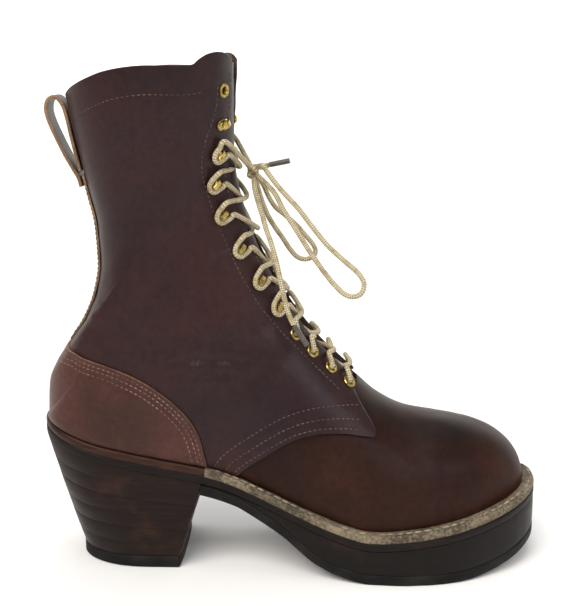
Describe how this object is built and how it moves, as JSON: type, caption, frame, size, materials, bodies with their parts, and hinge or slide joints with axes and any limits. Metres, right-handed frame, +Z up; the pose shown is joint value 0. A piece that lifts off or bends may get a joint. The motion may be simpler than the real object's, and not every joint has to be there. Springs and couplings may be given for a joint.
{
  "type": "logger boot",
  "caption": "Right logger boot: 11 in laced leather shaft, stitched welt, platform sole and high underslung stacked heel.",
  "frame": {"origin": "the middle of the heel's lower face, on the floor", "axes": "+X from the heel to the toe, +Y to the boot's inner (medial) side, +Z up"},
  "size_m": [0.3, 0.1046, 0.304],
  "materials": {
    "upper_leather": "smooth oxblood leather, waxed",
    "sole_edge": "dark stained sole edge",
    "welt_leather": "natural leather strip with rough thread",
    "insole_leather": "natural leather",
    "heel_rubber": "black rubber",
    "brass_hardware": "polished brass",
    "lace_cord": "natural braided cord"
  },
  "bodies": {
    "root": {"outsole": "heel_rubber", "platform": "sole_edge", "midsole": "sole_edge", "welt": "welt_leather", "heel_rand": "welt_leather", "heel_lift_1": "sole_edge", "heel_lift_2": "sole_edge", "heel_lift_3": "sole_edge", "heel_lift_4": "sole_edge", "heel_lift_5": "sole_edge", "heel_lift_6": "sole_edge", "top_lift": "heel_rubber", "insole": "insole_leather", "upper": "upper_leather", "tongue": "upper_leather", "quarter_outer": "upper_leather", "quarter_inner": "upper_leather", "counter": "upper_leather", "back_strap": "upper_leather", "pull_loop": "upper_leather", "eyelet_outer_1": "brass_hardware", "eyelet_outer_9": "brass_hardware", "eyelet_outer_10": "brass_hardware", "eyelet_outer_11": "brass_hardware", "eyelet_outer_12": "brass_hardware", "eyelet_inner_1": "brass_hardware", "eyelet_inner_9": "brass_hardware", "eyelet_inner_10": "brass_hardware", "eyelet_inner_11": "brass_hardware", "eyelet_inner_12": "brass_hardware", "hook_outer_2": "brass_hardware", "hook_outer_3": "brass_hardware", "hook_outer_4": "brass_hardware", "hook_outer_5": "brass_hardware", "hook_outer_6": "brass_hardware", "hook_outer_7": "brass_hardware", "hook_outer_8": "brass_hardware", "hook_inner_2": "brass_hardware", "hook_inner_3": "brass_hardware", "hook_inner_4": "brass_hardware", "hook_inner_5": "brass_hardware", "hook_inner_6": "brass_hardware", "hook_inner_7": "brass_hardware", "hook_inner_8": "brass_hardware", "lace_crossings": "lace_cord", "lace_knot": "lace_cord", "bow_loop_outer": "lace_cord", "bow_loop_inner": "lace_cord", "lace_end_long": "lace_cord", "lace_end_short": "lace_cord", "lace_tip_long": "lace_cord", "lace_tip_short": "lace_cord"}
  },
  "joints": []
}
